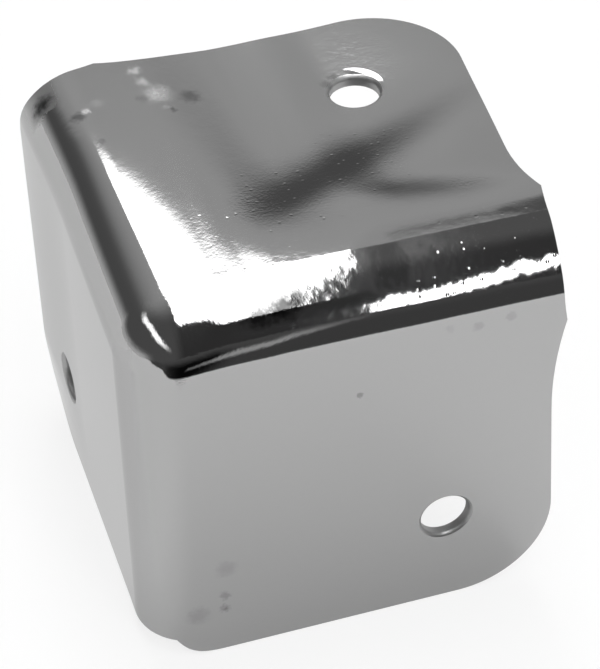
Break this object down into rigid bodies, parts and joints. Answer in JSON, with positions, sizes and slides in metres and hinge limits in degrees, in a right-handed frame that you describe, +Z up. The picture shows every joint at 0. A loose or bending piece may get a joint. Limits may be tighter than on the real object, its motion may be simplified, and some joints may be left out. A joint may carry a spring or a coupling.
{
  "type": "speaker corner",
  "caption": "Pressed sheet-metal cabinet corner: legs at right angles meet in a ball-shaped tip, each with a round lobe and a punched screw hole.",
  "frame": {"origin": "centre of the bounding box's bottom face, on the surface that the corner stands on", "axes": "+Z up, square to the top leg. The front leg faces -Y, the left leg faces -X, and the ball-shaped tip is at the top where -X and -Y meet"},
  "size_m": [0.0417, 0.0414, 0.041],
  "materials": {
    "plated_steel": "polished"
  },
  "bodies": {
    "root": {"corner_shell": "plated_steel"}
  },
  "joints": []
}
